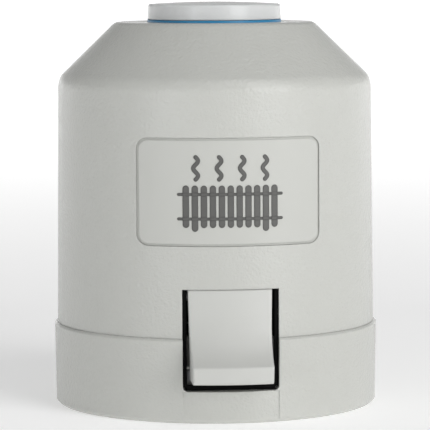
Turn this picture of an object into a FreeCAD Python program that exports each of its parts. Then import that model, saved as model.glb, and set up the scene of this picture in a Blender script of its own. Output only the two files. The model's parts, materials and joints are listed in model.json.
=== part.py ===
"""Thermoelectric valve actuator head, as a parametric FreeCAD document.

An expanding wax element lifts a sprung cage, and with it the pressure foot that holds a radiator
or floor-heating valve shut and the indicator on top.  The head clips on to a valve adapter and is
let go by the latch at the front.

Frame: millimetres, +Z up, origin on the axis at the base plane, front (latch) towards -Y.
The lifted pieces are drawn 2.4 mm above their closed position.
"""

import FreeCAD, Part
import Sketcher
import math
import os

DIMENSIONS = {
    # housing
    "collar_radius": 22.15,
    "collar_foot_radius": 22.0,
    "collar_height": 11.1,
    "collar_wall": 1.75,
    "foot_chamfer": 0.35,
    "lip_chamfer": 0.3,
    "body_low_radius": 21.75,
    "body_high_radius": 21.42,
    "shoulder_height": 44.35,
    "roof_radius": 13.57,
    "roof_height": 52.0,
    "shell_wall": 1.8,
    "shoulder_round": 2.6,
    "roof_round": 1.2,
    "roof_hole_gap": 0.15,
    "floor_thickness": 2.1,
    "spigot_outer_radius": 19.8,
    "spigot_inner_radius": 18.6,
    "spigot_height": 3.0,
    "spigot_gap_half": 9.0,
    "spigot_gap_reach": 16.0,
    "clip_reach": 20.3,
    "clip_half_width": 2.0,
    "clip_rise": 1.5,
    "clip_height": 1.0,
    # valve socket
    "socket_radius": 16.5,
    "socket_wall": 1.2,
    "guide_height": 5.15,
    "ring_thickness": 1.6,
    # latch and locking slide
    "slot_half_width": 6.35,
    "slot_bottom": 4.2,
    "slot_top": 17.6,
    "slot_inner": 17.8,
    "slot_round": 0.7,
    "latch_half_width": 5.54,
    "latch_foot_half_width": 5.2,
    "latch_side_shift": 0.1,
    "latch_back": 20.3,
    "latch_top": 17.55,
    "latch_bend": 13.7,
    "latch_bend_radius": 22.1,
    "latch_lip_radius": 26.15,
    "latch_lip_top": 8.0,
    "latch_bottom": 5.7,
    "latch_scoop": 7.3,
    "latch_edge": 0.35,
    "pivot_reach": 17.0,
    "pivot_height": 16.4,
    "pivot_radius": 0.75,
    "pivot_half_length": 7.5,
    "barrel_radius": 1.5,
    "barrel_half_length": 4.9,
    "latch_web_low": 1.1,
    "latch_web_high": 0.9,
    "latch_spring_height": 13.0,
    "latch_spring_seat": 1.9,
    "latch_seat_depth": 0.5,
    "bracket_back": 13.6,
    "bracket_front": 16.0,
    "bracket_foot": 1.0,
    "ear_centre": 6.7,
    "ear_half": 0.9,
    "ear_front": 18.1,
    "ear_back": 15.7,
    "ear_rise": 1.5,
    "post_half_width": 2.2,
    "post_depth": 1.0,
    "post_height": 3.6,
    "cheek_centre": 6.02,
    "cheek_half": 0.25,
    "cheek_front": 20.55,
    "cheek_back": 19.9,
    "sill_height": 0.6,
    "sill_half": 5.9,
    "slide_thickness": 1.4,
    "slide_low": 5.3,
    "slide_radius": 19.1,
    "slide_hole_radius": 16.9,
    "slide_shift": 0.8,
    "slide_hole_shift": 1.4,
    "slide_gap": 0.15,
    "tab_half_width": 4.0,
    "tab_reach": 19.95,
    "tab_root": 18.4,
    # label
    "label_half_width": 12.05,
    "label_low": 23.25,
    "label_high": 37.4,
    "label_round": 1.5,
    "label_depth": 0.7,
    "label_gap": 0.3,
    "label_sink": 0.04,
    "groove_depth": 0.16,
    # lifted group
    "foot_radius": 5.0,
    "foot_face": 7.8,
    "foot_edge": 0.5,
    "foot_bore_gap": 0.3,
    "cage_floor": 13.6,
    "cage_floor_thickness": 1.0,
    "cage_radius": 8.6,
    "cage_wall": 1.4,
    "flange_radius": 12.2,
    "flange_low": 23.0,
    "flange_thickness": 1.6,
    "cage_roof": 38.2,
    "cage_roof_thickness": 1.8,
    "stem_radius": 3.6,
    "boss_radius": 2.95,
    "boss_height": 1.9,
    "indicator_radius": 9.15,
    "indicator_low": 48.2,
    "indicator_wall": 1.25,
    "indicator_floor": 1.2,
    "cap_low": 52.35,
    "cap_side": 1.78,
    "cap_dome": 0.6,
    "cap_plug_depth": 1.7,
    "cap_plug_wall": 1.3,
    "cap_inset": 0.04,
    "cap_edge": 0.3,
    # seals
    "seal_groove_height": 1.2,
    "cap_groove_radius": 10.45,
    "cap_groove_drop": 1.55,
    "cap_seal_radius": 9.83,
    "cap_seal_section": 0.58,
    "cap_seal_drop": 0.95,
    "foot_groove_radius": 6.2,
    "foot_groove_drop": 1.65,
    "foot_seal_radius": 5.62,
    "foot_seal_section": 0.54,
    "foot_seal_drop": 1.05,
    # fixed drive pieces
    "frame_inner_radius": 13.0,
    "frame_outer_radius": 15.6,
    "frame_top": 45.0,
    "frame_plate": 1.8,
    "frame_foot": 1.4,
    "column_half_width": 2.5,
    "bridge_post_half": 3.2,
    "screw_radius": 0.78,
    "screw_bore": 0.8,
    "screw_hole": 0.95,
    "screw_length": 8.4,
    "screw_head_radius": 1.6,
    "screw_head_height": 1.0,
    "screw_sink_radius": 1.75,
    "bridge_low": 16.4,
    "bridge_thickness": 1.8,
    "bridge_half_width": 2.2,
    "bridge_reach": 15.4,
    "bridge_seat": 5.4,
    "spring_radius": 10.4,
    "spring_wire": 1.15,
    "element_radius": 6.6,
    "element_low": 20.4,
    "element_high": 33.5,
    "element_wall": 0.7,
    "piston_radius": 2.0,
    "piston_low": 26.4,
    "sleeve_radius": 2.95,
    "guide_depth": 2.3,
    "guide_neck": 3.4,
    "guide_rise": 1.7,
    "insulator_radius": 5.2,
    "insulator_height": 0.4,
    "contact_radius": 5.0,
    "contact_thickness": 0.3,
    "tongue_width": 1.2,
    "disc_radius": 4.9,
    "disc_thickness": 1.2,
    "board_inner": 16.6,
    "board_thickness": 1.2,
    "board_half_width": 5.0,
    "board_top": 34.0,
    "varistor_radius": 3.2,
    "varistor_thickness": 2.4,
    "varistor_side": 0.8,
    "varistor_height": 29.0,
    "fuse_radius": 1.1,
    "fuse_length": 6.0,
    "fuse_height": 23.6,
    "chip_depth": 0.6,
    "chip_width": 1.3,
    "chip_height": 2.0,
    "inlet_half_width": 5.5,
    "inlet_low": 11.15,
    "inlet_height": 6.6,
    "inlet_depth": 21.5,
    "inlet_back": 13.4,
    "inlet_wall": 1.2,
    "inlet_gap": 0.1,
    "inlet_pin_side": 2.0,
    "inlet_pin_radius": 0.5,
    "inlet_pin_length": 3.5,
    "inlet_pin_tail": 0.6,
}
# the gap between fixed pieces
CLEAR = 0.05
# how far a cutting shape passes a face
OVER = 1.0
# a reach well outside the housing
BEYOND = 30.0
# where a cut through the housing's wall ends
WALL_CUT = 12.0
# how far the inside corner of the shoulder moves for each unit of wall
MITRE = 0.41
COLUMN_ANGLES = (45.0, 135.0, 225.0, 315.0)
CLIP_ANGLES = (30.0, 150.0, 210.0, 330.0)
SPRING_TURNS = 6.0
LATCH_SPRING_TURNS = 4.5

doc = FreeCAD.newDocument("actuator_head")
sheet = doc.addObject("Spreadsheet::Sheet", "dims")
X_AXIS = FreeCAD.Vector(1, 0, 0)
Y_AXIS = FreeCAD.Vector(0, 1, 0)
Z_AXIS = FreeCAD.Vector(0, 0, 1)
finished = []


class Size:
    """A length that carries both its number and the expression that binds it to the sheet."""

    def __init__(self, value, text):
        self.value = value
        self.text = text

    def __add__(self, other):
        other = as_size(other)
        return Size(self.value + other.value, f"({self.text} + {other.text})")

    def __radd__(self, other):
        return as_size(other) + self

    def __sub__(self, other):
        other = as_size(other)
        return Size(self.value - other.value, f"({self.text} - {other.text})")

    def __mul__(self, factor):
        return Size(self.value * factor, f"({self.text} * {factor})")

    def __neg__(self):
        return Size(-self.value, f"(-{self.text})")


def as_size(length):
    return length if isinstance(length, Size) else Size(float(length), f"({float(length)})")


def fill_sheet():
    """Puts every driving dimension in a cell with an alias, and returns them as sizes."""
    for row, (alias, number) in enumerate(DIMENSIONS.items(), start=1):
        sheet.set(f"A{row}", alias)
        sheet.set(f"B{row}", str(number))
        sheet.setAlias(f"B{row}", alias)
    doc.recompute()
    return {alias: Size(number, f"dims.{alias}") for alias, number in DIMENSIONS.items()}


d = fill_sheet()


def bind(thing, prop, length):
    """Binds one property of a document object to the sheet."""
    thing.setExpression(prop, as_size(length).text)


def place(thing, x=0, y=0, z=0, turn=None):
    """Sets where a primitive stands, with each coordinate bound to the sheet."""
    numbers = [as_size(c).value for c in (x, y, z)]
    thing.Placement = FreeCAD.Placement(FreeCAD.Vector(*numbers), turn or FreeCAD.Rotation())
    for letter, c in zip("xyz", (x, y, z)):
        bind(thing, f"Placement.Base.{letter}", c)
    return thing


def rod(radius, low, height, x=0, y=0):
    """An upright cylinder."""
    made = doc.addObject("Part::Cylinder", "rod")
    bind(made, "Radius", radius)
    bind(made, "Height", height)
    return place(made, x, y, low)


def cross_rod(radius, length, start, along):
    """A cylinder lying along an axis from a start point."""
    made = doc.addObject("Part::Cylinder", "cross_rod")
    bind(made, "Radius", radius)
    bind(made, "Height", length)
    return place(made, *start, turn=FreeCAD.Rotation(Z_AXIS, along))


def block(low, high):
    """A box between two corners."""
    made = doc.addObject("Part::Box", "block")
    for prop, a, b in zip(("Length", "Width", "Height"), low, high):
        bind(made, prop, as_size(b) - a)
    return place(made, *low)


def bar(half_width, length, low, height, angle):
    """A long box centred on the axis and turned about it."""
    made = doc.addObject("Part::Box", "bar")
    bind(made, "Length", length)
    bind(made, "Width", as_size(half_width) * 2)
    bind(made, "Height", height)
    turn = FreeCAD.Rotation(Z_AXIS, angle)
    corner = turn.multVec(FreeCAD.Vector(0, -as_size(half_width).value, 0))
    return place(made, corner.x, corner.y, low, turn)


def torus(ring_radius, section_radius, height):
    made = doc.addObject("Part::Torus", "torus")
    bind(made, "Radius1", ring_radius)
    bind(made, "Radius2", section_radius)
    return place(made, 0, 0, height)


def fuse(*things):
    made = doc.addObject("Part::MultiFuse", "fuse")
    made.Shapes = list(things)
    made.Refine = True
    return made


def cut(base, *tools):
    made = doc.addObject("Part::Cut", "cut")
    made.Base = base
    made.Tool = tools[0] if len(tools) == 1 else fuse(*tools)
    made.Refine = True
    return made


def common(*things):
    made = doc.addObject("Part::MultiCommon", "common")
    made.Shapes = list(things)
    return made


def tube(outer, inner, low, height):
    """An upright tube."""
    inside = rod(inner, as_size(low) - OVER, as_size(height) + 2 * OVER)
    return cut(rod(outer, low, height), inside)


def finish(thing, label):
    """Names a finished sub-part: its label is its node and its file."""
    thing.Label = label
    finished.append(thing)
    return thing


def arc_centre(start, end, radius, left):
    """The centre of the arc from start to end that bends to the left or right of that way."""
    middle = (start + end) * 0.5
    way = end - start
    rise = math.sqrt(max(radius**2 - (way.Length / 2) ** 2, 0.0))
    normal = FreeCAD.Vector(-way.y, way.x, 0).normalize()
    return middle + normal * (rise if left else -rise)


def add_segment(sketch, start, end, arc):
    """Adds a line or an arc, and says which of its ends is the start."""
    if arc is None:
        return sketch.addGeometry(Part.LineSegment(start, end), False), 1, 2
    radius, left = arc
    centre = arc_centre(start, end, as_size(radius).value, left)
    first, last = (start, end) if left else (end, start)
    angles = [math.atan2(p.y - centre.y, p.x - centre.x) for p in (first, last)]
    if angles[1] < angles[0]:
        angles[1] += 2 * math.pi
    circle = Part.Circle(centre, Z_AXIS, as_size(radius).value)
    index = sketch.addGeometry(Part.ArcOfCircle(circle, *angles), False)
    return (index, 1, 2) if left else (index, 2, 1)


def fix_point(sketch, index, end, horizontal, vertical):
    """Ties a sketch point to the origin by two distances that the sheet drives."""
    for kind, axis, length in (("DistanceX", -2, horizontal), ("DistanceY", -1, vertical)):
        length = as_size(length)
        if abs(length.value) < 1e-9:
            sketch.addConstraint(Sketcher.Constraint("PointOnObject", index, end, axis))
            continue
        row = sketch.addConstraint(
            Sketcher.Constraint(kind, -1, 1, index, end, length.value)
        )
        sketch.setExpression(f"Constraints[{row}]", length.text)


def profile(body, points, arcs=None):
    """A closed, fully tied outline of (across, up) points, with some segments as arcs."""
    arcs = arcs or {}
    sketch = body.newObject("Sketcher::SketchObject", "outline")
    origin_plane = next(f for f in body.Origin.OriginFeatures if f.Role == "XZ_Plane")
    sketch.AttachmentSupport = [(origin_plane, "")]
    sketch.MapMode = "FlatFace"
    spots = [FreeCAD.Vector(as_size(a).value, as_size(b).value, 0) for a, b in points]
    count = len(points)
    ends = [
        add_segment(sketch, spots[i], spots[(i + 1) % count], arcs.get(i)) for i in range(count)
    ]
    for i in range(count):
        index, start, _ = ends[i]
        before, _, before_end = ends[i - 1]
        sketch.addConstraint(
            Sketcher.Constraint("Coincident", before, before_end, index, start)
        )
        fix_point(sketch, index, start, *points[i])
        if i in arcs:
            row = sketch.addConstraint(
                Sketcher.Constraint("Radius", index, as_size(arcs[i][0]).value)
            )
            sketch.setExpression(f"Constraints[{row}]", as_size(arcs[i][0]).text)
    doc.recompute()
    return sketch


def turned(points, arcs=None):
    """A PartDesign body: the outline turned once round the upright axis."""
    body = doc.addObject("PartDesign::Body", "turned")
    sketch = profile(body, points, arcs)
    feature = body.newObject("PartDesign::Revolution", "turn")
    feature.Profile = sketch
    feature.ReferenceAxis = (sketch, ["V_Axis"])
    feature.Angle = 360
    doc.recompute()
    return body


def rounded(body, spots, radius):
    """Fillets the circular edges of a turned body that pass through the (radius, height) spots."""
    wanted = []
    for number, edge in enumerate(body.Tip.Shape.Edges, start=1):
        box = edge.BoundBox
        for across, up in spots:
            if abs(box.ZMax - up) < 1e-3 and abs(box.ZMin - up) < 1e-3:
                if abs(box.XMax - across) < 1e-3:
                    wanted.append(f"Edge{number}")
    before = body.Tip
    feature = body.newObject("PartDesign::Fillet", "round")
    feature.Base = (before, wanted)
    bind(feature, "Radius", radius)
    body.Tip = feature
    doc.recompute()
    return body


def rounded_upright(thing, radius, along):
    """A Part fillet on every straight edge that runs along an axis."""
    doc.recompute()
    made = doc.addObject("Part::Fillet", "round")
    made.Base = thing
    value = as_size(radius).value
    chosen = []
    for number, edge in enumerate(thing.Shape.Edges, start=1):
        if edge.Curve.TypeId != "Part::GeomLine":
            continue
        way = (edge.Vertexes[-1].Point - edge.Vertexes[0].Point).normalize()
        if abs(way.dot(along)) > 0.999:
            chosen.append((number, value, value))
    made.Edges = chosen
    return made


def read(alias):
    """A dimension as the sheet holds it."""
    return float(sheet.get(alias))


def direct(label, shape, start=FreeCAD.Vector(), along=Z_AXIS):
    """A sub-part whose shape Part makes directly, stood at a point and turned along a way."""
    made = doc.addObject("Part::Feature", "made")
    made.Shape = shape
    made.Placement = FreeCAD.Placement(start, FreeCAD.Rotation(Z_AXIS, along))
    return finish(made, label)


def coil(label, radius, wire, start, end, turns):
    """A round-wire spring from start to end."""
    way = end - start
    helix = Part.makeHelix(way.Length / turns, way.Length, radius)
    section = Part.Wire([Part.makeCircle(wire, FreeCAD.Vector(radius, 0, 0), Y_AXIS)])
    solid = Part.Wire(helix.Edges).makePipeShell([section], True, True)
    return direct(label, solid, start, way)


# ---------------------------------------------------------------- housing


def make_cover():
    """Upper shell: a slightly tapered drum, a 45 degree shoulder and a flat roof with a hole."""
    wall = d["shell_wall"]
    hole = d["indicator_radius"] + d["roof_hole_gap"]
    outer = [
        (d["body_low_radius"], d["collar_height"]),
        (d["body_high_radius"], d["shoulder_height"]),
        (d["roof_radius"], d["roof_height"]),
        (hole, d["roof_height"]),
    ]
    inner = [
        (hole, d["roof_height"] - wall),
        (d["roof_radius"] - wall * MITRE, d["roof_height"] - wall),
        (d["body_high_radius"] - wall, d["shoulder_height"] - wall * MITRE),
        (d["body_low_radius"] - wall, d["collar_height"]),
    ]
    shell = turned(outer + inner)
    shoulder = (read("body_high_radius"), read("shoulder_height"))
    roof = (read("roof_radius"), read("roof_height"))
    shell = rounded(shell, [shoulder], d["shoulder_round"])
    shell = rounded(shell, [roof], d["roof_round"])
    seal_groove = rod(
        d["cap_groove_radius"], d["roof_height"] - d["cap_groove_drop"], d["seal_groove_height"]
    )
    latch_slot = block(
        (-d["slot_half_width"], -BEYOND, 0), (d["slot_half_width"], -WALL_CUT, d["slot_top"])
    )
    inlet_half = d["inlet_half_width"] + d["inlet_gap"]
    inlet_top = d["inlet_low"] + d["inlet_height"] + d["inlet_gap"]
    inlet_slot = block((-inlet_half, WALL_CUT, 0), (inlet_half, BEYOND, inlet_top))
    pocket = label_pocket()
    made = cut(shell, seal_groove, latch_slot, inlet_slot, pocket, *clip_pockets())
    return finish(made, "cover")


def clip_pockets():
    """Pockets in the cover that the spigot's clips spring into."""
    gap = 0.2
    return [
        bar(
            d["clip_half_width"] + gap,
            d["clip_reach"] + gap,
            d["collar_height"] + d["clip_rise"] - gap,
            d["clip_height"] + 2 * gap,
            angle,
        )
        for angle in CLIP_ANGLES
    ]


def label_outline(inset):
    """A rounded rectangle that reaches from inside the drum to well in front of it."""
    plate = block(
        (-d["label_half_width"] + inset, -BEYOND, d["label_low"] + inset),
        (d["label_half_width"] - inset, -WALL_CUT, d["label_high"] - inset),
    )
    return rounded_upright(plate, d["label_round"] - inset, Y_AXIS)


def label_pocket():
    """The recess that the name plate lies in."""
    height = d["label_high"] - d["label_low"] + 2 * OVER
    floor = d["body_high_radius"] - d["label_depth"]
    return common(label_outline(0), tube(BEYOND, floor, d["label_low"] - OVER, height))


def make_label_plate():
    """Blank name plate let into the front of the drum, with a shallow groove round its edge.

    Its face follows the drum's taper.
    """
    rise = read("shoulder_height") - read("collar_height")
    slope = (read("body_low_radius") - read("body_high_radius")) / rise
    back = d["body_high_radius"] - d["label_depth"] + CLEAR
    low, high = d["label_low"] - OVER, d["label_high"] + OVER

    def layer(sink, inset):
        """The plate up to a depth below the drum's face, drawn in from the recess's edge."""
        low_face = d["body_low_radius"] - sink - (low - d["collar_height"]) * slope
        high_face = d["body_low_radius"] - sink - (high - d["collar_height"]) * slope
        skin = turned([(back, low), (low_face, low), (high_face, high), (back, high)])
        return common(label_outline(inset), skin)

    groove = layer(d["groove_depth"], CLEAR * 0.4)
    face = layer(d["label_sink"], d["label_gap"])
    return finish(fuse(groove, face), "label_plate")


def base_ring():
    """The turned part of the base: collar, floor, upper socket wall and spigot."""
    top = d["collar_height"]
    floor = top - d["floor_thickness"]
    inner = d["collar_radius"] - d["collar_wall"]
    socket = d["socket_radius"]
    neck = socket + d["socket_wall"]
    bore = d["foot_radius"] + d["foot_bore_gap"]
    lower_edge = d["slide_low"] + d["slide_thickness"] + d["slide_gap"]
    return turned(
        [
            (inner, 0),
            (d["collar_foot_radius"] - d["foot_chamfer"], 0),
            (d["collar_foot_radius"], d["foot_chamfer"]),
            (d["collar_radius"], top - d["lip_chamfer"]),
            (d["collar_radius"] - d["lip_chamfer"], top),
            (d["spigot_outer_radius"], top),
            (d["spigot_outer_radius"], top + d["spigot_height"]),
            (d["spigot_inner_radius"], top + d["spigot_height"]),
            (d["spigot_inner_radius"], top),
            (bore, top),
            (bore, floor),
            (socket, floor),
            (socket, lower_edge),
            (neck, lower_edge),
            (neck, floor),
            (inner, floor),
        ]
    )


def make_base():
    """Collar with the floor, the upper socket wall and the spigot that the cover clips to."""
    top = d["collar_height"]
    floor = top - d["floor_thickness"]
    clip_root = d["spigot_inner_radius"] + d["clip_height"] * 0.5
    clips = [
        common(
            bar(d["clip_half_width"], d["clip_reach"], top + d["clip_rise"], d["clip_height"], a),
            tube(d["clip_reach"], clip_root, top, d["spigot_height"]),
        )
        for a in CLIP_ANGLES
    ]
    latch_slot = block(
        (-d["slot_half_width"], -BEYOND, d["slot_bottom"]),
        (d["slot_half_width"], -d["slot_inner"], BEYOND),
    )
    slot_round = rounded_upright(latch_slot, d["slot_round"], Y_AXIS)
    panel_sink = 0.05
    panel = cut(
        block(
            (-d["slot_half_width"], -BEYOND, -OVER),
            (d["slot_half_width"], -WALL_CUT, d["slot_bottom"]),
        ),
        rod(d["collar_foot_radius"] - panel_sink, -2 * OVER, top),
    )
    spigot_gap = block(
        (-d["spigot_gap_half"], -BEYOND, top), (d["spigot_gap_half"], -d["spigot_gap_reach"], BEYOND)
    )
    inlet_half = d["inlet_half_width"] + 0.5
    inlet_gap = block((-inlet_half, WALL_CUT, top), (inlet_half, BEYOND, BEYOND))
    seal_groove = rod(
        d["foot_groove_radius"], top - d["foot_groove_drop"], d["seal_groove_height"]
    )
    holes = []
    for angle in COLUMN_ANGLES:
        spot = column_spot(angle)
        holes.append(rod(d["screw_hole"], floor - OVER, 4 * OVER, *spot))
        holes.append(
            rod(d["screw_sink_radius"], floor - OVER, d["screw_head_height"] + CLEAR + OVER, *spot)
        )
    body = fuse(cut(base_ring(), spigot_gap, inlet_gap), *clips)
    made = cut(body, slot_round, panel, seal_groove, *holes)
    return finish(made, "base_housing")


def column_spot(angle):
    """Where a frame column and its screw stand."""
    reach = (read("frame_inner_radius") + read("frame_outer_radius")) / 2
    return reach * math.cos(math.radians(angle)), reach * math.sin(math.radians(angle))


def make_socket_ring():
    """Closing ring under the collar; its inner wall guides the valve adapter."""
    socket = d["socket_radius"]
    outer = d["collar_radius"] - d["collar_wall"] - 2 * CLEAR
    neck = socket + d["socket_wall"]
    ring = turned(
        [
            (socket, 0),
            (outer, 0),
            (outer, d["ring_thickness"]),
            (neck, d["ring_thickness"]),
            (neck, d["guide_height"]),
            (socket, d["guide_height"]),
        ]
    )
    return finish(ring, "socket_ring")


# ---------------------------------------------------------------- latch and locking slide


def latch_skin():
    """The latch's front as a turned shape: lip, scoop and the slope up to the drum."""
    back = d["spigot_gap_reach"]
    lip, lip_top = d["latch_lip_radius"], d["latch_lip_top"]
    edge = d["latch_edge"]
    return turned(
        [
            (back, d["latch_bottom"]),
            (lip - edge, d["latch_bottom"]),
            (lip, d["latch_bottom"] + edge),
            (lip, lip_top - 0.05),
            (lip - 0.45, lip_top + 0.2),
            (d["latch_bend_radius"], d["latch_bend"]),
            (d["body_low_radius"] - 0.02, d["latch_top"]),
            (back, d["latch_top"]),
        ],
        {4: (d["latch_scoop"], False)},
    )


def latch_wedge():
    """A long bar with the latch's front outline, a little narrower at the foot.

    It sits a hair to the left in its slot.
    """
    wedge = doc.addObject("PartDesign::Body", "wedge")
    low, high = d["latch_bottom"] - OVER, d["latch_top"] + OVER
    shift = d["latch_side_shift"]
    outline = profile(
        wedge,
        [
            (-d["latch_foot_half_width"] - shift, low),
            (d["latch_foot_half_width"] - shift, low),
            (d["latch_half_width"] - shift, high),
            (-d["latch_half_width"] - shift, high),
        ],
    )
    pad = wedge.newObject("PartDesign::Pad", "wedge_pad")
    pad.Profile = outline
    bind(pad, "Length", 2 * BEYOND)
    pad.Midplane = True
    doc.recompute()
    return wedge


def make_latch():
    """Release latch: a scooped thumb piece with a lip, carried on a hinge barrel behind it."""
    width, reach, height = WALL_CUT, d["pivot_reach"], d["pivot_height"]
    half = d["barrel_half_length"]
    front = block((-width, -BEYOND, 0), (width, -d["latch_back"], BEYOND))
    thumb = common(latch_skin(), latch_wedge(), front)
    web = block(
        (-half, -(d["latch_back"] + d["latch_seat_depth"]), height - d["latch_web_low"]),
        (half, -reach, height + d["latch_web_high"]),
    )
    barrel = cross_rod(d["barrel_radius"], half * 2, (-half, -reach, height), X_AXIS)
    hole = cross_rod(
        d["pivot_radius"] + CLEAR, 2 * width, (-width, -reach, height), X_AXIS
    )
    seat_floor = -(d["latch_back"] + d["latch_seat_depth"])
    spring_seat = cross_rod(
        d["latch_spring_seat"], OVER, (0, seat_floor, d["latch_spring_height"]), Y_AXIS
    )
    return finish(cut(fuse(thumb, web, barrel), hole, spring_seat), "release_latch")


def make_latch_bracket():
    """Bracket behind the latch: ears for the pin, a post for the spring, cheeks in the slot."""
    low = d["collar_height"] + CLEAR
    back, front = d["bracket_back"], d["bracket_front"]
    foot_half = d["ear_centre"] + d["ear_half"]
    foot = block((-foot_half, -front, low), (foot_half, -back, low + d["bracket_foot"]))
    post = block(
        (-d["post_half_width"], -front, low),
        (d["post_half_width"], -(front - d["post_depth"]), low + d["post_height"]),
    )
    sill_low = d["slot_bottom"] + 2 * CLEAR
    sill = block(
        (-d["sill_half"], -d["cheek_front"], sill_low),
        (d["sill_half"], -d["cheek_back"], sill_low + d["sill_height"]),
    )
    sides = []
    for side in (-1, 1):
        ear, cheek = d["ear_centre"] * side, d["cheek_centre"] * side
        cheek_top = d["slot_top"] - 2 * CLEAR
        ear_top = d["pivot_height"] + d["ear_rise"]
        sides += [
            block(
                (ear - d["ear_half"], -d["ear_front"], low),
                (ear + d["ear_half"], -d["ear_back"], ear_top),
            ),
            block(
                (cheek - d["cheek_half"], -d["cheek_front"], sill_low + 8 * CLEAR),
                (cheek + d["cheek_half"], -d["cheek_back"], cheek_top),
            ),
            block(
                (cheek - d["cheek_half"], -d["cheek_front"], low),
                (cheek + d["cheek_half"], -front, cheek_top),
            ),
        ]
    pin_hole = cross_rod(
        d["pivot_radius"] + 0.02,
        2 * WALL_CUT,
        (-WALL_CUT, -d["pivot_reach"], d["pivot_height"]),
        X_AXIS,
    )
    return finish(cut(fuse(foot, post, sill, *sides), pin_hole), "latch_bracket")


def make_latch_pin():
    half = d["pivot_half_length"]
    start = (-half, -d["pivot_reach"], d["pivot_height"])
    return finish(cross_rod(d["pivot_radius"], half * 2, start, X_AXIS), "latch_pin")


def make_latch_spring():
    """Small coil that pushes the latch outwards from the post behind it."""
    radius, wire, gap = 1.35, 0.2, 0.04
    height = read("latch_spring_height")
    seat = read("latch_back") + read("latch_seat_depth")
    if read("latch_spring_seat") < radius + wire:
        raise RuntimeError("the latch's spring doesn't fit its seat")
    start = FreeCAD.Vector(0, -seat + wire + gap, height)
    end = FreeCAD.Vector(0, -read("bracket_front") - wire - gap, height)
    return coil("latch_spring", radius, wire, start, end, LATCH_SPRING_TURNS)


def make_locking_slide():
    """Eccentric ring whose rear edge grips the valve adapter's groove until the latch pushes it."""
    low, thick = d["slide_low"], d["slide_thickness"]
    plate = rod(d["slide_radius"], low, thick, 0, -d["slide_shift"])
    tab = block(
        (-d["tab_half_width"], -d["tab_reach"], low),
        (d["tab_half_width"], -d["tab_root"], low + thick),
    )
    hole = rod(
        d["slide_hole_radius"], low - OVER, thick + 2 * OVER, 0, -d["slide_hole_shift"]
    )
    return finish(cut(fuse(plate, tab), hole), "locking_slide")


def make_slide_spring():
    """Bowed leaf between the collar's rear wall and the slide's rear edge."""
    half_length, ends_reach, middle_reach = 7.8, 18.5, 18.35
    thick, height, rise = 0.25, 1.2, 0.1
    low = read("slide_low") + rise
    near = [
        FreeCAD.Vector(-half_length, ends_reach, low),
        FreeCAD.Vector(0, middle_reach, low),
        FreeCAD.Vector(half_length, ends_reach, low),
    ]
    far = [point + FreeCAD.Vector(0, thick, 0) for point in near]
    edges = [
        Part.Arc(*near).toShape(),
        Part.LineSegment(near[2], far[2]).toShape(),
        Part.Arc(far[2], far[1], far[0]).toShape(),
        Part.LineSegment(far[0], near[0]).toShape(),
    ]
    leaf = Part.Face(Part.Wire(edges)).extrude(FreeCAD.Vector(0, 0, height))
    return direct("slide_spring", leaf)


# ---------------------------------------------------------------- lifted group


def make_indicator_ring():
    """Blue cup ring that shows above the roof as the valve opens."""
    outer, low = d["indicator_radius"], d["indicator_low"]
    inner = outer - d["indicator_wall"]
    bore = d["boss_radius"] + CLEAR
    top = d["cap_low"] - CLEAR
    ring = turned(
        [
            (bore, low),
            (outer, low),
            (outer, top),
            (inner, top),
            (inner, low + d["indicator_floor"]),
            (bore, low + d["indicator_floor"]),
        ]
    )
    return finish(ring, "indicator_ring")


def make_indicator_cap():
    """Cap that closes the blue ring: a short plug, an upright rim and a barely domed top."""
    low = d["cap_low"]
    side = low + d["cap_side"]
    edge = d["indicator_radius"] - d["cap_inset"]
    plug = d["indicator_radius"] - d["cap_plug_wall"]
    hollow = plug - d["cap_plug_wall"]
    top = side + d["cap_dome"]
    dome_radius, flat_radius = 150.0, 1.5
    cap = turned(
        [
            (0, low - d["cap_plug_depth"] * 0.5),
            (hollow, low - d["cap_plug_depth"] * 0.5),
            (hollow, low - d["cap_plug_depth"]),
            (plug, low - d["cap_plug_depth"]),
            (plug, low),
            (edge, low),
            (edge - CLEAR, side),
            (edge - CLEAR - d["cap_edge"], side + d["cap_edge"]),
            (flat_radius, top),
            (0, top),
        ],
        {6: (d["cap_edge"] * 1.1, True), 7: (dome_radius, True)},
    )
    return finish(cap, "indicator_cap")


def make_cage():
    """Lifting cage: an upturned cup round the wax element, with the spring's lower seat."""
    low = d["cage_floor"] + d["cage_floor_thickness"]
    outer, inner = d["cage_radius"], d["cage_radius"] - d["cage_wall"]
    roof = d["cage_roof"]
    top = roof + d["cage_roof_thickness"]
    flange = d["flange_low"]
    flange_top = flange + d["flange_thickness"]
    boss_top = d["indicator_low"] + d["boss_height"]
    cup = turned(
        [
            (0, roof),
            (inner, roof),
            (inner, low),
            (outer, low),
            (outer, flange),
            (d["flange_radius"], flange),
            (d["flange_radius"], flange_top),
            (outer, flange_top),
            (outer, top),
            (d["stem_radius"], top),
            (d["stem_radius"], d["indicator_low"]),
            (d["boss_radius"], d["indicator_low"]),
            (d["boss_radius"], boss_top),
            (0, boss_top),
        ]
    )
    window_gap = 0.4
    half = d["bridge_half_width"] + window_gap
    window = block((-WALL_CUT, -half, low - OVER), (WALL_CUT, half, flange))
    return finish(cut(cup, window), "drive_cage")


def make_foot():
    """Pressure foot that bears on the valve pin, with the disc that closes the cage."""
    floor, face, edge = d["cage_floor"], d["foot_face"], d["foot_edge"]
    foot = turned(
        [
            (0, face),
            (d["foot_radius"] - edge, face),
            (d["foot_radius"], face + edge),
            (d["foot_radius"], floor),
            (d["cage_radius"], floor),
            (d["cage_radius"], floor + d["cage_floor_thickness"]),
            (0, floor + d["cage_floor_thickness"]),
        ]
    )
    return finish(foot, "pressure_foot")


def make_piston():
    piston = rod(d["piston_radius"], d["piston_low"], d["cage_roof"] - d["piston_low"])
    return finish(piston, "work_piston")


# ---------------------------------------------------------------- fixed drive pieces


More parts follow.
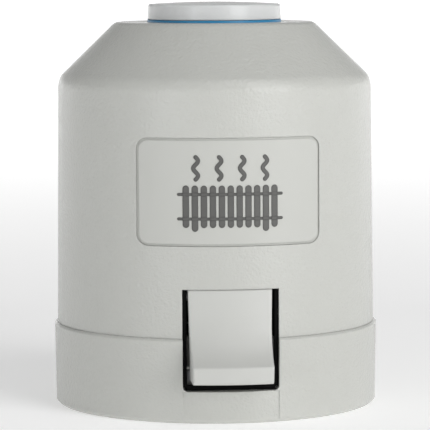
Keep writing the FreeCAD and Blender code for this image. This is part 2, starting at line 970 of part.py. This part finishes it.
def make_frame():
    """Spring frame: roof plate, four columns, a foot ring and two short posts for the bridge."""
    outer, inner = d["frame_outer_radius"], d["frame_inner_radius"]
    foot = d["collar_height"] + CLEAR
    plate_low = d["frame_top"] - d["frame_plate"]
    stem_gap = 0.5
    reach = 20.0
    plate = tube(outer, d["stem_radius"] + stem_gap, plate_low, d["frame_plate"])
    inlet_half, latch_half = 6.2, 9.5
    foot_ring = cut(
        tube(outer, inner, foot, d["frame_foot"]),
        block((-inlet_half, WALL_CUT, 0), (inlet_half, reach, BEYOND)),
        block((-latch_half, -reach, 0), (latch_half, -WALL_CUT, BEYOND)),
    )
    columns = common(
        tube(outer, inner, foot, d["frame_top"] - OVER - foot),
        fuse(*[bar(d["column_half_width"], reach, foot, 2 * reach, a) for a in COLUMN_ANGLES]),
    )
    posts = common(
        tube(outer, inner, foot, d["bridge_low"] - foot),
        fuse(*[bar(d["bridge_post_half"], reach, foot, reach, a) for a in (0.0, 180.0)]),
    )
    bore_top = foot + d["screw_length"]
    bores = [
        rod(d["screw_bore"], foot - OVER, bore_top - foot, *column_spot(a)) for a in COLUMN_ANGLES
    ]
    return finish(cut(fuse(plate, foot_ring, columns, posts), *bores), "spring_frame")


def make_screws():
    """Four self-cutting screws that hold the frame to the floor from below."""
    head_low = d["collar_height"] - d["floor_thickness"] + CLEAR
    half_height = d["screw_head_height"] * 0.5
    arm, half_width = 0.9, 0.2
    for number, angle in enumerate(COLUMN_ANGLES, start=1):
        x, y = column_spot(angle)
        head = rod(d["screw_head_radius"], head_low, d["screw_head_height"], x, y)
        shank = rod(d["screw_radius"], head_low + half_height, d["screw_length"], x, y)
        cross = [
            block((x - a, y - b, 0), (x + a, y + b, head_low + half_height))
            for a, b in ((arm, half_width), (half_width, arm))
        ]
        finish(cut(fuse(head, shank), *cross), f"frame_screw_{number}")


def make_main_spring():
    """Closing spring between the cage's flange and the frame's roof."""
    wire = read("spring_wire")
    low = read("flange_low") + read("flange_thickness") + wire + CLEAR
    high = read("frame_top") - read("frame_plate") - wire - CLEAR
    ends = FreeCAD.Vector(0, 0, low), FreeCAD.Vector(0, 0, high)
    return coil("main_spring", read("spring_radius"), wire, *ends, SPRING_TURNS)


def make_bridge():
    """Steel bar through the cage's windows; it carries the heater and the wax element."""
    top = d["bridge_low"] + d["bridge_thickness"]
    half, reach = d["bridge_half_width"], d["bridge_reach"]
    strip = block((-reach, -half, d["bridge_low"]), (reach, half, top))
    seat = rod(d["bridge_seat"], d["bridge_low"], d["bridge_thickness"])
    return finish(fuse(strip, seat), "element_bridge")


def make_heater():
    """Insulator, two contact plates and the heating disc, stacked on the bridge."""
    level = d["bridge_low"] + d["bridge_thickness"]
    thin = d["contact_thickness"]
    finish(rod(d["insulator_radius"], level, d["insulator_height"]), "heater_insulator")
    lower = level + d["insulator_height"]
    disc_low = lower + thin
    upper = disc_low + d["disc_thickness"]
    tongue_end = d["board_inner"] - 0.02
    tongue_root = 4.0
    for label, low, y in (
        ("heater_contact_lower", lower, -1.9),
        ("heater_contact_upper", upper, 0.7),
    ):
        tongue = block((tongue_root, y, low), (tongue_end, y + d["tongue_width"], low + thin))
        finish(fuse(rod(d["contact_radius"], low, thin), tongue), label)
    finish(rod(d["disc_radius"], disc_low, d["disc_thickness"]), "heating_disc")


def make_wax_element():
    """Brass cup with its wax, the rubber sleeve round the piston, and the guide on top."""
    low, high = d["element_low"], d["element_high"]
    outer, inner = d["element_radius"], d["element_radius"] - d["element_wall"]
    inside = inner - CLEAR
    cup_floor = low + 1.0
    wax_low = cup_floor + CLEAR
    sleeve_low = wax_low + 1.2
    seam = high - d["guide_depth"]
    wax_high = seam - CLEAR
    sleeve, bore = d["sleeve_radius"], d["piston_radius"] + CLEAR
    cup = turned(
        [
            (0, low),
            (outer, low),
            (outer, high),
            (inner, high),
            (inner, cup_floor),
            (0, cup_floor),
        ]
    )
    finish(cup, "wax_cup")
    wax = turned(
        [
            (0, wax_low),
            (inside, wax_low),
            (inside, wax_high),
            (sleeve + CLEAR, wax_high),
            (sleeve + CLEAR, sleeve_low - CLEAR),
            (0, sleeve_low - CLEAR),
        ]
    )
    finish(wax, "wax_charge")
    rubber = turned(
        [
            (0, sleeve_low),
            (sleeve, sleeve_low),
            (sleeve, wax_high),
            (bore, wax_high),
            (bore, sleeve_low + 1.0),
            (0, sleeve_low + 1.0),
        ]
    )
    finish(rubber, "piston_sleeve")
    guide = turned(
        [
            (bore, seam),
            (inside, seam),
            (inside, high),
            (d["guide_neck"], high),
            (d["guide_neck"], high + d["guide_rise"]),
            (bore, high + d["guide_rise"]),
        ]
    )
    finish(guide, "piston_guide")


def make_seals():
    """Rubber rings round the indicator and round the pressure foot."""
    cap_height = d["roof_height"] - d["cap_seal_drop"]
    foot_height = d["collar_height"] - d["foot_seal_drop"]
    finish(torus(d["cap_seal_radius"], d["cap_seal_section"], cap_height), "indicator_seal")
    finish(torus(d["foot_seal_radius"], d["foot_seal_section"], foot_height), "foot_seal")


# ---------------------------------------------------------------- electrical pieces


def make_board():
    """Upright circuit board with a varistor, a fuse and small chip parts."""
    inner, half = d["board_inner"], d["board_half_width"]
    low = d["collar_height"] + CLEAR
    gap = 0.02
    outer = inner + d["board_thickness"]
    finish(block((inner, -half, low), (outer, half, d["board_top"])), "circuit_board")
    thick = d["varistor_thickness"]
    varistor_start = (inner - thick - gap, d["varistor_side"], d["varistor_height"])
    finish(cross_rod(d["varistor_radius"], thick, varistor_start, X_AXIS), "varistor")
    length = d["fuse_length"]
    fuse_start = (inner - d["fuse_radius"] - gap, length * -0.5, d["fuse_height"])
    finish(cross_rod(d["fuse_radius"], length, fuse_start, Y_AXIS), "thermal_fuse")
    face = outer + gap
    spots = ((18.0, -2.2), (18.0, 1.0), (21.5, -2.2), (25.5, 0.2), (29.0, -1.2))
    for number, (height, y) in enumerate(spots, start=1):
        far = (face + d["chip_depth"], y + d["chip_width"], height + d["chip_height"])
        finish(block((face, y, height), far), f"chip_part_{number}")


def make_inlet():
    """Plug inlet in the rear of the housing, with its two contact pins."""
    half, low, back = d["inlet_half_width"], d["inlet_low"], d["inlet_back"]
    high, wall = low + d["inlet_height"], d["inlet_wall"]
    shell = block((-half, back, low), (half, d["inlet_depth"], high))
    shell = common(shell, rod(d["body_low_radius"], 0, 2 * BEYOND))
    mouth = block((-half + wall, back + wall, low + wall), (half - wall, BEYOND, high - wall))
    made = cut(shell, mouth)
    radius, length = d["inlet_pin_radius"], d["inlet_pin_length"]
    for side, name in ((-1, "left"), (1, "right")):
        across = d["inlet_pin_side"] * side
        start = (across, back - d["inlet_pin_tail"], low + d["inlet_height"] * 0.5)
        pin = cross_rod(radius, length, start, Y_AXIS)
        made = cut(made, cross_rod(radius + 0.02, length * 2, start, Y_AXIS))
        finish(pin, f"inlet_pin_{name}")
    finish(made, "plug_inlet")


def make_leads():
    """Two short insulated leads from the inlet round to the board."""
    bend, wire, gap = 17.2, 0.5, 0.2
    start = math.degrees(math.acos((read("inlet_half_width") + gap + CLEAR) / bend))
    end = math.degrees(math.asin((read("board_half_width") + gap) / bend))
    for height, name in ((14.0, "lower"), (16.2, "upper")):
        lead = torus(bend, wire, height)
        lead.Placement.Rotation = FreeCAD.Rotation(Z_AXIS, end)
        bind(lead, "Angle3", start - end)
        finish(lead, f"lead_wire_{name}")


def check_document():
    """Stops if an object failed, or if a sub-part is empty or not valid."""
    for thing in doc.Objects:
        if "Invalid" in thing.State or "Error" in thing.State:
            raise RuntimeError(f"{thing.Label} ({thing.Name}) did not compute: {thing.State}")
    for thing in finished:
        shape = thing.Shape
        if shape.isNull() or not shape.isValid() or not shape.Solids:
            raise RuntimeError(f"{thing.Label} has no valid solid")


def write_parts():
    os.makedirs("parts", exist_ok=True)
    for thing in finished:
        shape = thing.Shape
        shape.exportStep(os.path.join("parts", f"{thing.Label}.step"))
        print(f"{thing.Label:24s} solids {len(shape.Solids)}  volume {shape.Volume:9.2f} mm3")


make_cover()
make_label_plate()
make_base()
make_socket_ring()
make_latch()
make_latch_bracket()
make_latch_pin()
make_latch_spring()
make_locking_slide()
make_slide_spring()
make_indicator_ring()
make_indicator_cap()
make_cage()
make_foot()
make_piston()
make_frame()
make_screws()
make_main_spring()
make_bridge()
make_heater()
make_wax_element()
make_seals()
make_board()
make_inlet()
make_leads()
doc.recompute()
check_document()
write_parts()
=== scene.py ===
"""The looks of a clip-on valve actuator head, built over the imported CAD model.

Units are metres, in the CAD model's frame: +Z up the stroke axis, the latch towards -Y.
"""

import bpy
import json
import math
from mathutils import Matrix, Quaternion, Vector
from mathutils.bvhtree import BVHTree


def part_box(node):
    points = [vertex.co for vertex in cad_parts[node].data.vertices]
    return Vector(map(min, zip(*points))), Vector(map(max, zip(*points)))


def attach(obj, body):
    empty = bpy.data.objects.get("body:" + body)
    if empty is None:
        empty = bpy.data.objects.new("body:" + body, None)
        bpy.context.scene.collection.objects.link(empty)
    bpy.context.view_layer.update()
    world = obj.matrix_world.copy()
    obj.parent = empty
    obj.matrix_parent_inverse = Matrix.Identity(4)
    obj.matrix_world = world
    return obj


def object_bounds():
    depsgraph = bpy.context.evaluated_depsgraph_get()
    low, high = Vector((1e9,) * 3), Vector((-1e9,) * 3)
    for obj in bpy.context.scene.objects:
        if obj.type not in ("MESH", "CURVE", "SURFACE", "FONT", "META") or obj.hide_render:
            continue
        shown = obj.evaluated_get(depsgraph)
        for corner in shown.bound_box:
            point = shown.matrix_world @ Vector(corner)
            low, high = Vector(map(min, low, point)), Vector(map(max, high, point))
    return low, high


MM = 0.001
MICRON = 1e-6

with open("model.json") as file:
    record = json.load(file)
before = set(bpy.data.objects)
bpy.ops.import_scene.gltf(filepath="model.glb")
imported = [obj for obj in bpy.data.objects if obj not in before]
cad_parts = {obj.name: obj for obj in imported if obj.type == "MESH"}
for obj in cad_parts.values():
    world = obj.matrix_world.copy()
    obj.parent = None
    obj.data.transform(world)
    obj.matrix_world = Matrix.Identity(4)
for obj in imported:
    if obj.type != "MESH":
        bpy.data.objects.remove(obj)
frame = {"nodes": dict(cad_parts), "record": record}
cad_low, cad_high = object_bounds()
nodes = frame["nodes"]


# ---------------------------------------------------------------- materials

# radii of the edges that are only shaded round
MOULDED_EDGE = 0.22 * MM
POLISHED_EDGE = 0.25 * MM
LATCH_EDGE = 0.45 * MM
METAL_EDGE = 0.08 * MM
EDGE_SAMPLES = 6
# the slow swell of a moulded wall: cells to the metre, and height
SWELL_SCALE = 90.0
SWELL_DEPTH = 15 * MICRON


def new_material(name, colour, rough, metallic=0.0, **sockets):
    """Makes a Principled material; returns it with its node tree and its shader node."""
    made = bpy.data.materials.new(name)
    made.use_nodes = True
    tree = made.node_tree
    shader = tree.nodes["Principled BSDF"]
    shader.inputs["Base Color"].default_value = (*colour, 1.0)
    shader.inputs["Roughness"].default_value = rough
    shader.inputs["Metallic"].default_value = metallic
    for socket, value in sockets.items():
        shader.inputs[socket.replace("_", " ")].default_value = value
    return made, tree, shader


def place_texture(tree, kind, scale, **settings):
    """A texture that follows the object's own coordinates; scale is cells to the metre."""
    coordinates = tree.nodes.new("ShaderNodeTexCoord")
    texture = tree.nodes.new(kind)
    texture.inputs["Scale"].default_value = scale
    for socket, value in settings.items():
        texture.inputs[socket.replace("_", " ")].default_value = value
    tree.links.new(coordinates.outputs["Object"], texture.inputs["Vector"])
    return texture


def spread(tree, source, low, high):
    """Maps a value, from 0 to 1 unless the caller sets otherwise, to a range."""
    mapped = tree.nodes.new("ShaderNodeMapRange")
    mapped.inputs["To Min"].default_value = low
    mapped.inputs["To Max"].default_value = high
    tree.links.new(source, mapped.inputs["Value"])
    return mapped.outputs["Result"]


def vary_colour(tree, shader, colour, scale, amount):
    """Clouds the base colour a little lighter and darker."""
    cloud = place_texture(tree, "ShaderNodeTexNoise", scale, Detail=3.0)
    mix = tree.nodes.new("ShaderNodeMix")
    mix.data_type = "RGBA"
    mix.inputs["A"].default_value = (*[c * (1 - amount) for c in colour], 1.0)
    mix.inputs["B"].default_value = (*[min(1.0, c * (1 + amount)) for c in colour], 1.0)
    tree.links.new(cloud.outputs["Fac"], mix.inputs["Factor"])
    tree.links.new(mix.outputs["Result"], shader.inputs["Base Color"])


def vary_roughness(tree, shader, scale, low, high):
    """Clouds the gloss between two roughness values."""
    cloud = place_texture(tree, "ShaderNodeTexNoise", scale, Detail=4.0)
    tree.links.new(spread(tree, cloud.outputs["Fac"], low, high), shader.inputs["Roughness"])


def soften_edges(tree, shader, radius):
    """Shades sharp edges as if they were rounded to a radius, as moulded and cut edges are."""
    edge = tree.nodes.new("ShaderNodeBevel")
    edge.samples = EDGE_SAMPLES
    edge.inputs["Radius"].default_value = radius
    tree.links.new(edge.outputs["Normal"], shader.inputs["Normal"])


def add_bump(tree, shader, height, depth, strength=1.0):
    """Raises the surface by depth metres where the height value is 1, over any earlier bump."""
    bump = tree.nodes.new("ShaderNodeBump")
    bump.inputs["Distance"].default_value = depth
    bump.inputs["Strength"].default_value = strength
    tree.links.new(height, bump.inputs["Height"])
    earlier = shader.inputs["Normal"].links
    if earlier:
        tree.links.new(earlier[0].from_socket, bump.inputs["Normal"])
    tree.links.new(bump.outputs["Normal"], shader.inputs["Normal"])


def eroded_plastic(name, colour, rough, grain, depth, **sockets):
    """Moulded plastic with the fine grain of a spark-eroded tool; grain is its size in metres."""
    made, tree, shader = new_material(name, colour, rough, IOR=1.46, **sockets)
    soften_edges(tree, shader, MOULDED_EDGE)
    vary_colour(tree, shader, colour, scale=160.0, amount=0.012)
    vary_roughness(tree, shader, scale=900.0, low=rough - 0.05, high=rough + 0.05)
    fine = place_texture(tree, "ShaderNodeTexNoise", 1.0 / grain, Detail=2.0, Roughness=0.6)
    add_bump(tree, shader, fine.outputs["Fac"], depth)
    swell = place_texture(tree, "ShaderNodeTexNoise", SWELL_SCALE, Detail=1.0)
    add_bump(tree, shader, swell.outputs["Fac"], SWELL_DEPTH)
    return made


def smooth_plastic(name, colour, rough, edge=POLISHED_EDGE, **sockets):
    """Moulded plastic from a polished tool: nearly smooth, with a faint waviness."""
    made, tree, shader = new_material(name, colour, rough, IOR=1.48, **sockets)
    soften_edges(tree, shader, edge)
    vary_colour(tree, shader, colour, scale=200.0, amount=0.012)
    vary_roughness(tree, shader, scale=600.0, low=rough - 0.015, high=rough + 0.015)
    fine = place_texture(tree, "ShaderNodeTexNoise", 6000.0, Detail=2.0)
    add_bump(tree, shader, fine.outputs["Fac"], 2 * MICRON)
    return made


def brushed_metal(name, colour, rough):
    """Rolled or drawn metal: fine lines one way, and patches of slightly different gloss."""
    made, tree, shader = new_material(name, colour, rough, metallic=1.0)
    soften_edges(tree, shader, METAL_EDGE)
    vary_colour(tree, shader, colour, scale=400.0, amount=0.05)
    vary_roughness(tree, shader, scale=1200.0, low=rough - 0.06, high=rough + 0.08)
    lines = place_texture(tree, "ShaderNodeTexWave", 2500.0, Distortion=6.0, Detail=2.0)
    add_bump(tree, shader, lines.outputs["Fac"], 3 * MICRON, strength=0.6)
    return made


def soft_rubber(name, colour):
    """Dull rubber with a fine, slightly cloudy skin."""
    made, tree, shader = new_material(name, colour, 0.6, IOR=1.5)
    vary_colour(tree, shader, colour, scale=500.0, amount=0.2)
    fine = place_texture(tree, "ShaderNodeTexNoise", 5000.0, Detail=3.0)
    add_bump(tree, shader, fine.outputs["Fac"], 8 * MICRON)
    return made


def granular(name, colour, rough, grain):
    """Ceramic, wax and resin: specks of lighter and darker grain."""
    made, tree, shader = new_material(name, colour, rough, IOR=1.5)
    vary_colour(tree, shader, colour, scale=1.0 / grain, amount=0.12)
    fine = place_texture(tree, "ShaderNodeTexVoronoi", 1.0 / grain)
    add_bump(tree, shader, fine.outputs["Distance"], 10 * MICRON, strength=0.5)
    return made


HOUSING_GREY = (0.56, 0.565, 0.535)
LATCH_GREY = (0.59, 0.595, 0.57)
CAP_GREY = (0.68, 0.69, 0.69)
RING_BLUE = (0.03, 0.26, 0.50)
PRINT_GREY = (0.105, 0.105, 0.10)
# near black, darker than the plain black: the inner plastic's own dark tone, painted darker still
# as the shade in the latch slot's gaps
SLOT_SHADE_BLACK = (0.004, 0.004, 0.004)
PLAIN_BLACK = (0.012, 0.012, 0.012)
# light that enters the pale plastics and comes out again a little way off
TRANSLUCENT = {
    "Subsurface_Weight": 0.4,
    "Subsurface_Scale": 0.8 * MM,
    "Subsurface_Radius": (1, 1, 1),
}

MATERIALS = {
    "housing_plastic": eroded_plastic(
        "housing_plastic", HOUSING_GREY, 0.22, 0.42 * MM, 100 * MICRON, **TRANSLUCENT
    ),
    "label_plastic": eroded_plastic(
        "label_plastic", HOUSING_GREY, 0.46, 0.25 * MM, 3 * MICRON, **TRANSLUCENT
    ),
    "latch_plastic": smooth_plastic("latch_plastic", LATCH_GREY, 0.42, LATCH_EDGE, **TRANSLUCENT),
    "cap_plastic": smooth_plastic("cap_plastic", CAP_GREY, 0.26, **TRANSLUCENT),
    "blue_plastic": smooth_plastic("blue_plastic", RING_BLUE, 0.35),
    # the parts seen through the slot's gaps: dark plastic with painted shade, nearly black and
    # barely glossy
    "inner_plastic": eroded_plastic(
        "inner_plastic", SLOT_SHADE_BLACK, 0.8, 0.3 * MM, 5 * MICRON, Specular_IOR_Level=0.1
    ),
    "black_plastic": eroded_plastic(
        "black_plastic", PLAIN_BLACK, 0.45, 0.2 * MM, 4 * MICRON
    ),
    "spring_steel": brushed_metal("spring_steel", (0.55, 0.56, 0.58), 0.28),
    "sheet_steel": brushed_metal("sheet_steel", (0.60, 0.61, 0.63), 0.34),
    "contact_brass": brushed_metal("contact_brass", (0.80, 0.60, 0.26), 0.3),
    "cup_brass": brushed_metal("cup_brass", (0.74, 0.53, 0.22), 0.32),
    "wax": granular("wax", (0.55, 0.33, 0.16), 0.5, 0.4 * MM),
    "seal_rubber": soft_rubber("seal_rubber", PLAIN_BLACK),
    "ptc_ceramic": granular("ptc_ceramic", (0.12, 0.115, 0.11), 0.55, 0.3 * MM),
    "insulator": granular("insulator", (0.78, 0.77, 0.73), 0.5, 0.3 * MM),
    "board_resin": granular("board_resin", (0.02, 0.10, 0.04), 0.4, 0.5 * MM),
    "varistor_resin": smooth_plastic("varistor_resin", (0.02, 0.07, 0.28), 0.25),
    "chip_resin": granular("chip_resin", (0.014, 0.014, 0.016), 0.5, 0.2 * MM),
    "lead_sheath": smooth_plastic("lead_sheath", (0.16, 0.04, 0.015), 0.35),
    "print": smooth_plastic("print", PRINT_GREY, 0.5),
}


def dress_nodes():
    """Gives every CAD node the material that the record names for it."""
    for entry in frame["record"]["subparts"]:
        data = nodes[entry["node"]].data
        data.materials.clear()
        data.materials.append(MATERIALS[entry["material_slot"]])


# ---------------------------------------------------------------- print on the name plate

PRINT_THICK = 0.03 * MM
PRINT_SINK = 0.02 * MM
RAIL_THICK = PRINT_THICK * 0.8
# half the width of each kind of line
COLUMN_HALF = 0.42 * MM
WAVE_HALF = 0.28 * MM
RAIL_HALF = 0.2 * MM
# the radiator: columns to each side of the middle one, and heights from the plate's middle
SIDE_COLUMNS = 5
COLUMN_GAP = 1.16 * MM
COLUMN_LOW = -4.2 * MM
COLUMN_HIGH = 0.5 * MM
FOOT_LENGTH = 0.5 * MM
RAIL_INSET = 0.75 * MM
RAIL_OVERHANG = 0.8 * COLUMN_GAP
# the heat: where each wave stands, in wave gaps from the middle
WAVE_STEPS = (-1.5, -0.5, 0.5, 1.5)
WAVE_GAP = 2.6 * COLUMN_GAP
WAVE_LOW = 1.7 * MM
WAVE_HIGH = 4.6 * MM
WAVE_SWING = 0.3 * MM
WAVE_TURNS = 1.5
# points in the round end of a line
END_STEPS = 5
label_node = nodes["label_plate"]
label_low, label_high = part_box("label_plate")
label_tree = BVHTree.FromPolygons(
    [vertex.co for vertex in label_node.data.vertices],
    [list(face.vertices) for face in label_node.data.polygons],
)


def on_label(spot, lift):
    """The point of the plate's front face at (x, z), moved outwards by a lift."""
    well_in_front = label_low.y - 5 * MM
    start = Vector((spot.x, well_in_front, spot.y))
    hit, normal, _, _ = label_tree.ray_cast(start, Vector((0, 1, 0)))
    return hit + normal * lift


def ribbon(path, half):
    """Pairs of side points along a flat line of even width with round ends."""
    rows = []
    last = len(path) - 1
    # the last angle stops short of a right angle, so that the ends keep a little width
    turn = math.pi / 2 / (END_STEPS + 0.3)
    for i, point in enumerate(path):
        way = (path[min(i + 1, last)] - path[max(i - 1, 0)]).normalized()
        side = Vector((-way.y, way.x))
        angles = [0.0]
        if i == 0:
            angles = [-turn * k for k in range(END_STEPS, -1, -1)]
        elif i == last:
            angles = [turn * k for k in range(END_STEPS + 1)]
        for angle in angles:
            centre = point + way * (half * math.sin(angle))
            reach = side * (half * math.cos(angle))
            rows.append((centre + reach, centre - reach))
    return rows


def raise_ribbon(points, faces, rows, lift):
    """Adds a ribbon as a thin closed strip that follows the plate's face."""
    first = len(points)
    for left, right in rows:
        points += [on_label(left, lift), on_label(right, lift)]
        points += [on_label(right, -PRINT_SINK), on_label(left, -PRINT_SINK)]
    for row in range(len(rows) - 1):
        a = first + 4 * row
        for k in range(4):
            n = (k + 1) % 4
            faces.append((a + k, a + n, a + n + 4, a + k + 4))
    end = first + 4 * (len(rows) - 1)
    faces.append((first + 3, first + 2, first + 1, first))
    faces.append((end, end + 1, end + 2, end + 3))


def upright_line(x, low, high, count=8):
    """Points up a column, with enough of them to follow the plate."""
    return [Vector((x, low + (high - low) * i / (count - 1))) for i in range(count)]


def level_line(z, left, right, count=24):
    """Points along a rail, with enough of them to follow the plate round."""
    return [Vector((left + (right - left) * i / (count - 1), z)) for i in range(count)]


def heat_wave(x, low, high, count=36):
    """Points up a line that sways to one side, the other and back."""
    points = []
    for i in range(count):
        t = i / (count - 1)
        sway = WAVE_SWING * math.sin(2 * math.pi * WAVE_TURNS * t)
        points.append(Vector((x + sway, low + (high - low) * t)))
    return points


def print_pictogram():
    """A plain column radiator with waves of heat above it, printed on the name plate."""
    middle = (label_low.z + label_high.z) / 2
    low, high = middle + COLUMN_LOW, middle + COLUMN_HIGH
    reach = SIDE_COLUMNS * COLUMN_GAP + RAIL_OVERHANG
    points, faces = [], []
    for step in range(-SIDE_COLUMNS, SIDE_COLUMNS + 1):
        stands_on_foot = abs(step) == SIDE_COLUMNS - 1
        foot = FOOT_LENGTH if stands_on_foot else 0.0
        column = upright_line(step * COLUMN_GAP, low - foot, high)
        raise_ribbon(points, faces, ribbon(column, COLUMN_HALF), PRINT_THICK)
    for z in (low + RAIL_INSET, high - RAIL_INSET):
        rail = level_line(z, -reach, reach)
        raise_ribbon(points, faces, ribbon(rail, RAIL_HALF), RAIL_THICK)
    for step in WAVE_STEPS:
        wave = heat_wave(step * WAVE_GAP, middle + WAVE_LOW, middle + WAVE_HIGH)
        raise_ribbon(points, faces, ribbon(wave, WAVE_HALF), PRINT_THICK)
    mesh = bpy.data.meshes.new("pictogram")
    mesh.from_pydata(points, [], faces)
    mesh.materials.append(MATERIALS["print"])
    piece = bpy.data.objects.new("pictogram", mesh)
    bpy.context.scene.collection.objects.link(piece)
    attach(piece, "housing")


# ---------------------------------------------------------------- floor, lights and camera

VIEW_DISTANCE = 380 * MM
VIEW_AZIMUTH = math.radians(-5.5)
VIEW_HEIGHT = 60.9 * MM
VIEW_ROLL = math.radians(-0.25)
AIM_HEIGHT = 25.4 * MM
LENS = 232.0
SENSOR_WIDTH = 36
NEAREST_SEEN = 0.01
FARTHEST_SEEN = 12

FLOOR_WHITE = (0.9, 0.9, 0.9)
# the floor: a flat disc, then a bend up into a wall, as radii and heights in metres
FLOOR_RADIUS = 2.8
BEND_RADIUS = 0.2
WALL_HEIGHT = 0.28
CENTRE_RADIUS = 0.2
BEND_STEPS = 8
FLOOR_SPOKES = 96
FLOOR_CLEARANCE = 0.02 * MM
# how strongly it glows close to the object and far off, and where the change begins and ends
FLOOR_GLOW_NEAR = 0.33
FLOOR_GLOW_FAR = 0.74
FLOOR_GLOW_STARTS = 0.10
FLOOR_GLOW_ENDS = 0.55

WHITE = (1.0, 1.0, 1.0)
COOL_WHITE = (0.93, 0.96, 1.0)
SKY_STRENGTH = 0.32
# what the lamps point at: the middle of the head
LAMP_TARGET = Vector((0, 0, 0.027))
# name, place, width and height in metres, power in watts, colour
LAMPS = (
    ("key", (0.52, -0.68, 0.26), (0.45, 0.45), 2.75, WHITE),
    ("strip", (-0.21, -0.25, 0.062), (0.016, 0.12), 0.075, COOL_WHITE),
    ("above", (0.30, -0.42, 0.62), (0.35, 0.35), 1.0, WHITE),
    ("rim_left", (-0.60, 0.60, 0.12), (0.25, 0.40), 0.05, WHITE),
    ("rim_right", (0.60, 0.60, 0.12), (0.25, 0.40), 0.10, WHITE),
    ("back", (0.0, 1.00, 0.14), (0.80, 0.26), 0.25, WHITE),
)


def look_at(thing, target):
    """Turns a lamp or camera towards a point."""
    thing.rotation_mode = "QUATERNION"
    thing.rotation_quaternion = (target - thing.location).to_track_quat("-Z", "Y")


def add_camera():
    """A long lens, a little left of the front and above it."""
    data = bpy.data.cameras.new("camera")
    data.sensor_width = SENSOR_WIDTH
    data.lens = LENS
    data.clip_start = NEAREST_SEEN
    data.clip_end = FARTHEST_SEEN
    camera = bpy.data.objects.new("camera", data)
    bpy.context.scene.collection.objects.link(camera)
    camera.location = (
        VIEW_DISTANCE * math.sin(VIEW_AZIMUTH),
        -VIEW_DISTANCE * math.cos(VIEW_AZIMUTH),
        VIEW_HEIGHT,
    )
    look_at(camera, Vector((0, 0, AIM_HEIGHT)))
    camera.rotation_quaternion @= Quaternion((0, 0, 1), VIEW_ROLL)
    bpy.context.scene.camera = camera


def add_softbox(name, place, size, power, colour):
    """A rectangular lamp that lights the object but isn't seen itself."""
    data = bpy.data.lights.new(name, "AREA")
    data.shape = "RECTANGLE"
    data.size, data.size_y = size
    data.energy = power
    data.color = colour
    lamp = bpy.data.objects.new(name, data)
    lamp.visible_camera = False
    bpy.context.scene.collection.objects.link(lamp)
    lamp.location = place
    look_at(lamp, LAMP_TARGET)


def glow_outwards(tree, shader):
    """Lets the floor glow, and more so away from the object, so that it stays white far off."""
    coordinates = tree.nodes.new("ShaderNodeTexCoord")
    length = tree.nodes.new("ShaderNodeVectorMath")
    length.operation = "LENGTH"
    tree.links.new(coordinates.outputs["Object"], length.inputs[0])
    glow = spread(tree, length.outputs["Value"], FLOOR_GLOW_NEAR, FLOOR_GLOW_FAR)
    glow.node.inputs["From Min"].default_value = FLOOR_GLOW_STARTS
    glow.node.inputs["From Max"].default_value = FLOOR_GLOW_ENDS
    tree.links.new(glow, shader.inputs["Emission Strength"])


def floor_outline(low):
    """The floor's section as (radius, height) points, from the centre disc to the wall's top."""
    outline = [(CENTRE_RADIUS, low), (FLOOR_RADIUS, low)]
    for step in range(1, BEND_STEPS + 1):
        angle = math.pi / 2 * step / BEND_STEPS
        radius = FLOOR_RADIUS + BEND_RADIUS * math.sin(angle)
        outline.append((radius, low + BEND_RADIUS * (1 - math.cos(angle))))
    outline.append((FLOOR_RADIUS + BEND_RADIUS, low + WALL_HEIGHT))
    return outline


def add_floor():
    """A round pale floor that curves up into a low wall far from the object, on every side."""
    low = cad_low.z - FLOOR_CLEARANCE
    outline = floor_outline(low)
    points = [(0, 0, low)]
    for radius, height in outline:
        for spoke in range(FLOOR_SPOKES):
            angle = 2 * math.pi * spoke / FLOOR_SPOKES
            points.append((radius * math.cos(angle), radius * math.sin(angle), height))
    faces = [(0, 1 + k, 1 + (k + 1) % FLOOR_SPOKES) for k in range(FLOOR_SPOKES)]
    for ring in range(len(outline) - 1):
        inner = 1 + ring * FLOOR_SPOKES
        outer = inner + FLOOR_SPOKES
        for k in range(FLOOR_SPOKES):
            n = (k + 1) % FLOOR_SPOKES
            faces.append((inner + k, outer + k, outer + n, inner + n))
    mesh = bpy.data.meshes.new("floor")
    mesh.from_pydata(points, [], faces)
    mesh.shade_smooth()
    floor = bpy.data.objects.new("floor", mesh)
    bpy.context.scene.collection.objects.link(floor)
    made, tree, shader = new_material("floor", FLOOR_WHITE, 0.7)
    shader.inputs["Emission Color"].default_value = (*WHITE, 1.0)
    vary_colour(tree, shader, FLOOR_WHITE, scale=30.0, amount=0.01)
    glow_outwards(tree, shader)
    mesh.materials.append(made)


def light_scene():
    """An even white sky and six soft lamps."""
    world = bpy.data.worlds.new("studio")
    bpy.context.scene.world = world
    world.use_nodes = True
    background = world.node_tree.nodes["Background"]
    background.inputs["Color"].default_value = (*WHITE, 1.0)
    background.inputs["Strength"].default_value = SKY_STRENGTH
    for lamp in LAMPS:
        add_softbox(*lamp)
    bpy.context.scene.view_settings.view_transform = "Standard"


dress_nodes()
print_pictogram()
add_floor()
light_scene()
add_camera()
